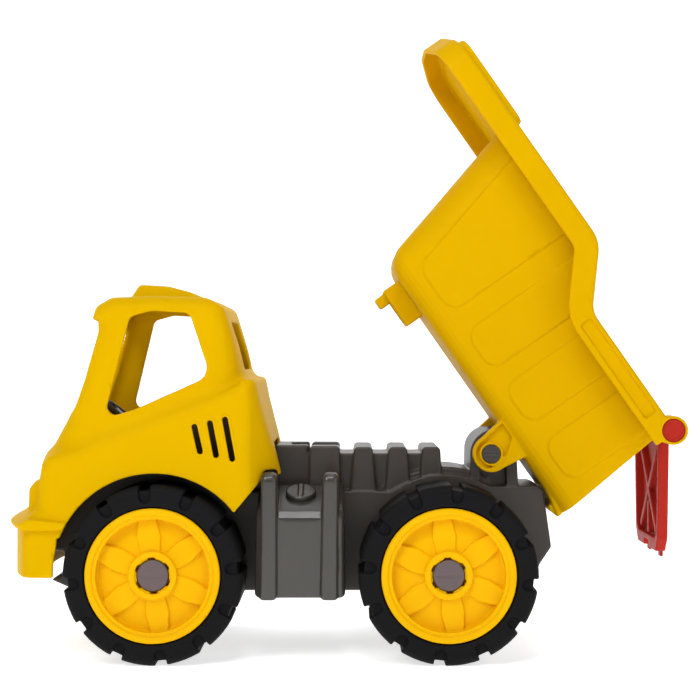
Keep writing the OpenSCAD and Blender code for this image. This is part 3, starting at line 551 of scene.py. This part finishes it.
def dump_bed():
    """The tub with its panels, rim and canopy, the lugs below it and the ears for the tailgate's studs."""
    g = Grid((-218, -64, -14), (56, 64, 123), 0.72)
    across = np.abs(g.y)
    outer = bed_tub(g, 0)
    inner = bed_tub(g, WALL)
    top = rim_top(g)
    tub = join(outer, bed_panels(g, outer), 0.5)
    tub = both(tub, top + 0.8)
    support = box(g, (-112.7, -13, 3.1), (-87.6, 13, FLOOR_Z + 2), 1.0)
    support = cut(support, box(g, (-109, -10, 0), (-91, 10, 10), 1.0), 0.5)
    prong = box(g, (-111.4, -8, -3.7), (-104.6, 8, 6), 1.4)
    tab = box(g, (44.6, -30, 9.6), (49.4, 30, FLOOR_Z + 1), 0.6)
    sill = prism(g.x, g.z, rounded([(36, 16.4, 0), (36, 14.2, 0), (53, 10.2, 0), (53, 14, 0)]))
    sill = both(sill, across - 33, 2)
    for extra in (bed_lugs(g), support, prong, tab, sill):
        tub = join(tub, extra, 0.8)
    pad = box(g, (-15.2, -31, FLOOR_Z + 1), (15.2, 31, FLOOR_Z + 4.4), 1.0)
    tub = join(cut(tub, inner, 1.0), pad, 1.2)
    body = join(tub, bed_rim(g, top, inner), 1.5)

    ear = both(circle(g.x, g.z, EAR_R, EAR), slab(across, EAR_INNER_Y, HALF_RIM), 0.7)
    # The tub ends at its sloping rear edge, and the rim outside it runs on to the ears.
    rear = half_plane(g.x, g.z, BED_REAR_FOOT, BED_REAR_HEAD)
    body = both(body, np.where(across > 50.5, -9, rear), 0.6)
    body = join(body, ear, 1.8)
    sweep = both(circle(g.x, g.z, EAR_R + 1, EAR), across - EAR_INNER_Y)
    for bore in (circle(g.x, g.z, STUD_R + PLAY, EAR), circle(g.x, g.z, PIN_R + PLAY), sweep):
        body = cut(body, bore, 0.35)
    body = cut(body, both(circle(g.x, g.z, STAND_CLEAR_R), across - (LUG_Y[0] - 0.1)))
    moulding = surface("bed_moulding", g, body, bed_place)
    stand_in(moulding, "dump_bed", "tipping_bed", bed_yellow)


dump_bed()


# ---------------------------------------------------------------- tailgate

def gate_place(points):
    run, rise = BED_REAR_FOOT[0] - BED_REAR_HEAD[0], BED_REAR_HEAD[1] - BED_REAR_FOOT[1]
    rear_slope = math.degrees(math.atan2(run, rise))
    return turned(points, TIP_ANGLE - rear_slope - GATE_CLOSED) + np.array([GATE_HINGE[0], 0, GATE_HINGE[2]])


def tailgate():
    """Hangs from its studs: X to the rear, Z up; crossing ribs in a frame on the inner face."""
    g = Grid((-8, -64, -77), (8, 64, 8), 0.5)
    across = np.abs(g.y)
    length, face, thickness = 71.3, 1.4, 6
    inner_face = face - thickness
    outline = prism(across, g.z, rounded([
        (-60, 5, 0), (41.5, 5, 3), (36.2, 8 - length, 2), (29.2, -length, 2), (8, -length, 1),
        (6, 4 - length, 1), (-60, 4 - length, 0),
    ]))
    plate = both(outline, slab(g.x, inner_face, face), 0.7)
    frame_line = prism(across, g.z, rounded([
        (-60, -6, 0), (36.6, -6, 2), (32.4, 11 - length, 2), (26, 7 - length, 2), (-60, 7 - length, 0),
    ]))
    recess = both(frame_line, g.x - (face - 2), 0.6)
    ribs = union(capsule(g.y, g.z, (side * 30, -9), (-side * 24, 12 - length), 2.3) for side in (LEFT, RIGHT))
    latch = both(slab(g.y, -2.6, 2.6), slab(g.z, 8 - length, 27 - length), 0.8)
    ribs = join(ribs, latch, 0.5)
    recess = cut(recess, both(ribs, inner_face + 1 - g.x, 0.6), 0.7)
    gate = cut(plate, recess, 0.5)
    tabs = both(slab(across, 14, 22), slab(g.z, -length - 4, -length + 3), 1)
    tabs = both(tabs, slab(g.x, face - 1.6, face), 0.5)
    gate = join(gate, tabs, 0.5)
    stud = both(np.hypot(g.x, g.z) - STUD_R, slab(across, 36.5, 61.4), 0.8)
    dimple = both(np.hypot(g.x, g.z) - 4.9, 60.8 - across)
    gate = join(gate, cut(stud, dimple, 0.3), 1.2)
    stand_in(surface("tailgate_panel", g, gate, gate_place), "tailgate", "gate", gate_red)


tailgate()


# ---------------------------------------------------------------- wheels

# A wheel's own frame: axis on Z with the outer face at 0, inner face at -TYRE_W.
WHEEL_R, TYRE_W = 50, 45
OUTER_Y = 76.2
SEAT_R, BEAD_R, AXLE_R = 34, 37.4, 5
TREAD_BLOCKS, FIRST_NOTCH, REAR_TYRE_TURN = 12, 5.5, 18.5
BLADES, FIRST_BLADE, FIRST_SLOT = 6, 96.5, 34
NOTCH_HALF, NOTCH_ROOT, NOTCH_DEPTH, TREAD_DEPTH = 3.15, 40.4, 2.4, 3


def wheel_place(axle, side, turn=0.0):
    """Turns a wheel about its axis, then so that its outer face looks away from the truck."""
    c, s = math.cos(math.radians(turn)), math.sin(math.radians(turn))

    def place(points):
        x, y, z = points.T
        x, y = x * c - y * s, x * s + y * c
        return np.column_stack([x, side * z, -side * y]) + np.array([axle[0], side * OUTER_Y, axle[2]])
    return place


def sector(g, count, first):
    """Radial and sideways distances, folded so that one pattern repeats round the wheel."""
    radius = np.hypot(g.x, g.y)
    step = 2 * math.pi / count
    angle = np.arctan2(g.y, g.x) - math.radians(first)
    angle = (angle + step / 2) % step - step / 2
    return radius * np.cos(angle), radius * np.sin(angle)


def tyre_field(g):
    """A wide tyre with grooves across the tread that run on as notches down both side walls."""
    radius = np.hypot(g.x, g.y)
    out, sideways = sector(g, TREAD_BLOCKS, FIRST_NOTCH)
    ring = prism(radius, g.z, rounded([
        (SEAT_R, 1 - TYRE_W, 1), (SEAT_R + 4, -TYRE_W, 2), (WHEEL_R, -TYRE_W, 4.6), (WHEEL_R, 0, 4.6),
        (38.2, 0, 0.8), (37.8, -2.8, 0), (SEAT_R, -2.8, 0),
    ]))
    groove = both(np.abs(sideways) - NOTCH_HALF, WHEEL_R - TREAD_DEPTH - out, 0.5)
    past_tread = WHEEL_R + 20
    notch = capsule(out, sideways, (NOTCH_ROOT + NOTCH_HALF, 0), (past_tread, 0), NOTCH_HALF)
    depth_in = np.minimum(-g.z, g.z + TYRE_W)
    notch = both(notch, depth_in - NOTCH_DEPTH, 0.5)
    return cut(cut(ring, groove, 0.7), notch, 0.6)


def hub_field(g):
    """A deep rim with a sloping dish, flat blades on it, and a boss round the axle with snap slots."""
    radius = np.hypot(g.x, g.y)
    barrel = both(slab(radius, 31.4, SEAT_R), slab(g.z, 1 - TYRE_W, -1))
    bead = both(slab(radius, 33.4, BEAD_R), slab(g.z, -2.9, 0.3), 1.3)
    wall = prism(radius, g.z, rounded([
        (31.4, -9.5, 0), (31.6, -6, 3), (33.9, -1.4, 0.5), (35.6, -1.4, 0), (35.6, -9.5, 0),
    ]))
    dish = prism(radius, g.z, np.array([(12, -5.4), (33, -7.4), (33, -10), (12, -8)]))
    hub = join(join(join(barrel, bead, 0.5), wall, 0.6), dish, 1.0)
    u, v = sector(g, BLADES, FIRST_BLADE)
    blade = prism(u, np.abs(v), rounded([
        (8, -9, 0), (8, 5.0, 0), (13, 5.4, 0), (21, 6.6, 6), (29.5, 5.3, 0), (31.8, 4.6, 1.2), (31.8, -9, 0),
    ]))
    blade = both(both(blade, g.z + 4.2 + (u - 13.5) * 0.045, 0.8), -9 - g.z)
    hub = join(hub, blade, 0.35)
    boss = prism(radius, g.z, rounded([
        (-9, -1.6 - TYRE_W, 0), (8.6, -1.6 - TYRE_W, 1), (13.5, -10.4, 0), (13.5, -1.6, 0.8), (-9, -1.6, 0),
    ]))
    hub = join(hub, boss, 0.5)
    pocket = both(radius - 9.8, -7.2 - g.z)
    u, v = sector(g, BLADES, FIRST_SLOT)
    slots = both(both(slab(u, 8.2, 10.1), np.abs(v) - 1.8, 0.3), -9.2 - g.z)
    hub = cut(cut(cut(hub, pocket, 0.5), slots, 0.3), radius - (AXLE_R + PLAY))
    ledge = both(both(slab(radius, 9.0, 10.2), slab(g.z, -7.2, -3.0)), 2.1 - np.abs(v))
    return join(hub, ledge, 0.2)


def wheels():
    """Four tyres on their hubs; the rear tyres are turned a little against the front ones."""
    tyre_grid = Grid((-51, -51, -46), (51, 51, 1), 0.62)
    tyre = tyre_field(tyre_grid)
    hub_grid = Grid((-38.5, -38.5, -47.5), (38.5, 38.5, 1.2), 0.45)
    hub = hub_field(hub_grid)
    for end, axle, tyre_turn in (("front", FRONT_AXLE, 0), ("rear", REAR_AXLE, REAR_TYRE_TURN)):
        for hand, side in (("left", LEFT), ("right", RIGHT)):
            where = f"{end}_{hand}"
            rubber = surface(f"tyre_moulding_{where}", tyre_grid, tyre, wheel_place(axle, side, tyre_turn))
            stand_in(rubber, f"tyre_{where}", f"wheel_{where}", tyre_black)
            rim = surface(f"rim_moulding_{where}", hub_grid, hub, wheel_place(axle, side))
            stand_in(rim, f"hub_{where}", f"wheel_{where}", rim_yellow)


wheels()


# ---------------------------------------------------------------- axles and hinge pin

def rod_with_line(name, node_name, at, half_length, shaft_r, head_r, head_t, material):
    """A rod along Y with a faint mould line across each end, and flat heads where head_r is the larger."""
    reach = max(head_r, shaft_r) + 1.5
    g = Grid((-reach, -half_length - 1.5, -reach), (reach, half_length + 1.5, reach), 0.4)
    across = np.abs(g.y)
    radius = np.hypot(g.x, g.z)
    rod = both(radius - shaft_r, across - half_length, 0.5)
    if head_r > shaft_r:
        rod = np.minimum(rod, both(radius - head_r, slab(across, half_length - head_t, half_length), 0.8))
    line = both(slab(g.z, -0.28, 0.28), radius - max(head_r, shaft_r) + 0.9)
    line = both(line, half_length - 0.35 - across)
    rod = cut(rod, line, 0.1)
    piece = surface(name, g, rod, lambda points: points + at)
    stand_in(piece, node_name, "truck_frame", material)


def axles_and_pin():
    for end, at in (("front", FRONT_AXLE), ("rear", REAR_AXLE)):
        rod_with_line(f"axle_{end}_rod", f"{end}_axle", at, 73.6, AXLE_R, 8.7, 4.4, pin_grey)
    rod_with_line("hinge_pin", "bed_pivot_pin", BED_HINGE, 36.4, PIN_R, 0, 0, frame_grey)


axles_and_pin()


# ---------------------------------------------------------------- side tanks

TANK_L, HALF_TANK, HALF_CHASSIS = 50.8, 64, 29
STRAPS, STRAP_Y, STRAP_TOP_Z = (8.2, 42.6), 65.6, 106.4
CAP_Y, CAP_Z, CAP_TILT, CAP_STEM_R = 43.4, 93.5, 65.6, 4
BOWL_HALF, BOWL_DEPTH = 11, 2.4


def tank_place(side):
    low = np.array(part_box("side_tank_left")[0]) / MM

    def place(points):
        return points * np.array([1, side, 1]) + np.array([low[0], 0, 0])
    return place


def cap_axes(g):
    """Distance out along the filler cap's tilted axis, and down the slope across it."""
    tilt = math.radians(CAP_TILT)
    y, z = g.y - CAP_Y, g.z - CAP_Z
    return y * math.cos(tilt) + z * math.sin(tilt), y * math.sin(tilt) - z * math.cos(tilt)


def tank_section(g, inset):
    """Upright outer face, a narrow facet, then a sloping top."""
    return prism(g.y, g.z, rounded([
        (20, 36 - 6 * inset, 0), (HALF_TANK - inset, 36 - 6 * inset, 3), (HALF_TANK - inset, 80.6, 1),
        (61.2 - inset, 85.4 - inset / 2, 1), (33, 98.2 - inset, 4), (20, 98.6 - inset, 0),
    ]))


def tank_field(g):
    """One tank on the right: X from its front end, Y outwards."""
    draft = (g.z - 36) * 0.02
    tank = both(tank_section(g, 0), slab(g.x, draft, TANK_L - draft * 0.6), 3.2)
    between_straps = both(slab(g.x, STRAPS[0] + 3, STRAPS[1] - 4), -tank_section(g, 1.4))
    tank = cut(tank, between_straps, 0.3)
    rise, down_slope = cap_axes(g)
    radial = np.hypot(g.x - TANK_L / 2, down_slope)
    bowl_r = (BOWL_HALF ** 2 + BOWL_DEPTH ** 2) / (2 * BOWL_DEPTH)
    tank = cut(tank, np.hypot(radial, rise - bowl_r + BOWL_DEPTH) - bowl_r, 0.5)
    tank = cut(tank, radial - CAP_STEM_R - 0.1)
    bar = prism(g.y, g.z, rounded([
        (10, 34.9, 0), (STRAP_Y, 34.9, 2), (STRAP_Y, STRAP_TOP_Z, 5), (10, STRAP_TOP_Z - 2.2, 0),
    ]))
    taper = np.clip((g.z - 36) / 70, 0, 1)
    for middle in STRAPS:
        width = slab(g.x, middle - 6 + taper * 1.4, middle + 4.6)
        tank = join(tank, both(bar, width, 3), 0.6)
    return both(tank, HALF_CHASSIS - g.y)


def cap_field(g):
    """A filler cap on the right tank, standing in its recess with a grip bar across it."""
    rise, down_slope = cap_axes(g)
    radial = np.hypot(g.x - TANK_L / 2, down_slope)
    cap = both(radial - 8.6, slab(rise, -1.8, 1.5), 1.1)
    cap = join(cap, both(radial - CAP_STEM_R, slab(rise, -6, 0)), 0.5)
    grip = both(both(np.abs(g.x - TANK_L / 2) - 1.4, np.abs(down_slope) - 7, 1), slab(rise, 1, 2.4), 0.7)
    return join(cap, grip, 0.7)


def side_tanks():
    g = Grid((-1.5, 27, 33), (TANK_L + 1.5, 67.5, 108), 0.45)
    tank = tank_field(g)
    cap_grid = Grid((15, 33, 83), (36, 58, 101), 0.3)
    cap = cap_field(cap_grid)
    for hand, side in (("left", LEFT), ("right", RIGHT)):
        tank_piece = surface(f"tank_moulding_{hand}", g, tank, tank_place(side), flip=side == LEFT)
        stand_in(tank_piece, f"side_tank_{hand}", "truck_frame", tank_grey)
        cap_piece = surface(f"cap_moulding_{hand}", cap_grid, cap, tank_place(side), flip=side == LEFT)
        stand_in(cap_piece, f"filler_cap_{hand}", "truck_frame", tank_grey)


side_tanks()


# ---------------------------------------------------------------- chassis

# The chassis is measured along X from the rear axle.
HUMP_FRONT, BOX_RIB_X = -98.2, -69.3
# The middle and the foot's length of each rib.
RIBS = ((-46.9, 16), (-26.8, 15.6), (-7.6, 14.3))
HALF_STAND, STAND_SETBACK, STAND_R, HINGE_Z = 28, 2.2, 13.6, 115


def chassis_place(points):
    return points + np.array([REAR_AXLE[0], 0, 0])


def rib_shape(g, middle, foot, top_half, top_z):
    """A rib across the chassis, tapering from its foot to a narrower top."""
    side = prism(g.x, g.z, rounded([
        (middle - foot / 2, 88, 0), (middle - top_half, top_z, 2.4),
        (middle + top_half, top_z, 2.4), (middle + foot / 2, 88, 0),
    ]))
    return both(side, np.abs(g.y) - HALF_STAND, 1.6)


def hinge_stand(g, middle):
    """The stand that holds the bed's hinge pin: round on top, with a hollow in each side."""
    across = np.abs(g.y)
    legs = prism(g.x, g.z, np.array([
        (middle - 14, 90), (middle - STAND_R, HINGE_Z), (middle + 13.2, HINGE_Z - 2), (middle + 14.6, 90),
    ]))
    stand = np.minimum(circle(g.x, g.z, STAND_R, (middle, HINGE_Z)), legs)
    stand = both(stand, across - HALF_STAND, 1.0)
    hollow = prism(g.x, g.z, rounded([
        (middle - 8, 92, 0), (middle - 8, HINGE_Z - 2, 2), (middle + 6.6, HINGE_Z - 2, 2),
        (middle + 7.4, 92, 0),
    ]))
    return cut(stand, both(hollow, HALF_STAND - 4 - across), 0.6)


def chassis():
    """A hollow beam with an arch over the rear axle, a ribbed hump and the hinge stand on its deck."""
    g = Grid((-234, -30.5, 33), (64, 30.5, 132), 0.65)
    across = np.abs(g.y)
    front = FRONT_AXLE[0] - REAR_AXLE[0]
    low = prism(g.x, g.z, rounded([
        (front - 64, 41.8, 0.5), (front - 50, 35.6, 4), (50, 35.6, 6), (55.3, 50.8, 2), (62, 60.8, 2),
        (57.2, 94.7, 2), (53.4, 96.1, 1), (22, 96.1, 2), (14, 97.3, 3), (-20, 97.3, 3), (-32, 93.3, 4),
        (front + 48, 93.3, 2), (front + 45, 107.8, 2), (front - 41, 107.8, 4), (front - 58, 84, 8),
        (front - 63, 58.5, 1), (front - 56.4, 58.5, 1), (front - 56.4, 46.2, 1),
    ]))
    body = both(low, across - HALF_CHASSIS, 1.4)
    arch = both(circle(g.x, g.z, 53, (0, AXLE_Z)), slab(g.x, -34, 30))
    arch = both(arch, across - HALF_CHASSIS, 1.2)
    crown = both(both(circle(g.x, g.z, 57, (0, AXLE_Z)), slab(g.x, -36, 26)), across - 25, 2)
    hump = prism(g.x, g.z, rounded([
        (HUMP_FRONT, 85, 0), (HUMP_FRONT, 119.4, 1), (HUMP_FRONT + 19.2, 119.4, 1),
        (HUMP_FRONT + 19.4, 114.6, 0.5), (-2.4, 114.6, 1), (1.6, 85, 0),
    ]))
    hump = both(hump, across - 22, 1.2)
    neck = box(g, (front + 40, -22, 85), (HUMP_FRONT + 4, 22, 107), 1)
    body = join(join(join(body, arch, 0.5), crown, 0.8), np.minimum(hump, neck), 1.2)
    for middle, foot in RIBS:
        body = join(body, rib_shape(g, middle, foot, 5.3, 118.6), 0.8)
    body = join(body, rib_shape(g, BOX_RIB_X, 19, 8.65, 119.2), 0.8)

    hinge = BED_HINGE[0] - REAR_AXLE[0]
    body = join(body, hinge_stand(g, hinge + STAND_SETBACK), 0.8)
    body = join(body, both(circle(g.x, g.z, 8.4, (hinge, HINGE_Z)), across - HALF_STAND), 0.4)

    body = cut(body, both(low + WALL, across - HALF_CHASSIS + WALL))
    under = box(g, (front - 44, -26.6, 30), (46, 26.6, 42))
    body = cut(body, under)
    for x in (front, 0):
        body = join(body, both(circle(g.x, g.z, 9, (x, AXLE_Z)), across - HALF_CHASSIS), 0.5)
        body = cut(body, circle(g.x, g.z, AXLE_R, (x, AXLE_Z)))
    body = cut(body, circle(g.x, g.z, PIN_R, (hinge, HINGE_Z)))
    prong_x = hinge - 108
    slot = box(g, (prong_x - 8, -12, 104), (prong_x + 14, 12, 130), 1)
    pocket = box(g, (hinge - 113.7, -13.6, 117.7), (-58.8, 13.6, 130), 0.6)
    body = cut(cut(body, slot, 0.6), pocket, 0.6)
    moulding = surface("chassis_moulding", g, body, chassis_place)
    stand_in(moulding, "chassis", "truck_frame", frame_grey)


chassis()


# ---------------------------------------------------------------- pieces kept from the CAD

def finish_kept(names, material):
    """Gives CAD nodes that stay visible a detailed material."""
    for name in names:
        kept = frame["nodes"][name]
        kept.data.materials.clear()
        kept.data.materials.append(material)


finish_kept(("cab_interior", "steering_wheel"), frame_grey)


# ---------------------------------------------------------------- camera, light and floor

LENS_MM, SENSOR_MM, SHIFT_Y = 85.7, 36, 0.0086
EYE = (0.0042, -0.9932, 0.1713)
# Name, place and size in metres, power in watts and colour of each soft light.
LIGHTS = (
    ("key", (-0.7, -1.25, 1.2), 0.9, 12.5, (1, 0.99, 0.97)),
    ("fill", (1.2, -1.25, 0.8), 1.2, 5.5, (0.98, 0.985, 1)),
    ("strip", (-0.05, -0.85, 1.3), 0.4, 4, (1, 1, 1)),
    ("top", (0.1, 0.1, 1.6), 1.4, 5, (1, 1, 1)),
    ("rear_left", (-1.2, 1.2, 1.1), 1.2, 2.5, (1, 1, 1)),
    ("rear_right", (1.2, 1.2, 1.1), 1.2, 2.5, (1, 1, 1)),
)
LIGHT_TARGET = (0, 0, 0.15)


def camera_and_light():
    """A long lens at about the height of the truck's middle, and broad soft lights round it."""
    scene = bpy.context.scene
    scene.view_settings.view_transform = "Standard"
    view = bpy.data.cameras.new("view")
    view.lens, view.sensor_width = LENS_MM, SENSOR_MM
    view.shift_y = SHIFT_Y
    view.clip_start, view.clip_end = 0.05, 20
    camera = bpy.data.objects.new("view", view)
    camera.location = EYE
    camera.rotation_euler = (math.pi / 2, 0, 0)
    scene.collection.objects.link(camera)
    scene.camera = camera

    for name, place, size, power, colour in LIGHTS:
        lamp = bpy.data.lights.new(name, "AREA")
        lamp.shape, lamp.size, lamp.energy, lamp.color = "DISK", size, power, colour
        light = bpy.data.objects.new(name, lamp)
        light.location = place
        aim = np.array(LIGHT_TARGET) - np.array(place)
        tilt = math.atan2(math.hypot(aim[0], aim[1]), -aim[2])
        light.rotation_euler = (tilt, 0, math.atan2(aim[0], -aim[1]) + math.pi)
        scene.collection.objects.link(light)

    world = bpy.data.worlds.new("studio")
    world.use_nodes = True
    world.node_tree.nodes["Background"].inputs["Color"].default_value = (1, 1, 1, 1)
    world.node_tree.nodes["Background"].inputs["Strength"].default_value = 0.1
    scene.world = world


def floor_sweep():
    """A pale floor that curves up into a backdrop behind the truck."""
    bend, depth, reach, height, steps = 0.8, 2.4, 8.0, 4.0, 12
    profile = [(-reach, 0.0)] + [
        (depth - bend + bend * math.sin(a), bend - bend * math.cos(a))
        for a in (math.pi / 2 * k / steps for k in range(steps + 1))
    ] + [(depth, height)]
    mesh = bpy.data.meshes.new("floor")
    points = [(x, y, z) for x in (-reach, reach) for y, z in profile]
    n = len(profile)
    mesh.from_pydata(points, [], [(i, i + n, i + n + 1, i + 1) for i in range(n - 1)])
    mesh.shade_smooth()
    floor = bpy.data.objects.new("floor", mesh)
    bpy.context.scene.collection.objects.link(floor)
    material = bpy.data.materials.new("floor")
    material.use_nodes = True
    tree = material.node_tree
    shader = tree.nodes["Principled BSDF"]
    shader.inputs["Roughness"].default_value = 0.9
    shader.inputs["Specular IOR Level"].default_value = 0.0
    shader.inputs["Emission Color"].default_value = (1, 1, 1, 1)
    shader.inputs["Emission Strength"].default_value = 0.68
    paper = node(tree, "ShaderNodeTexNoise", Scale=300.0, Detail=2.0)
    tone = node(tree, "ShaderNodeMapRange")
    tone.inputs["To Min"].default_value = 0.9
    tone.inputs["To Max"].default_value = 0.93
    tree.links.new(paper.outputs["Fac"], tone.inputs["Value"])
    tree.links.new(tone.outputs["Result"], shader.inputs["Base Color"])
    mesh.materials.append(material)


camera_and_light()
floor_sweep()
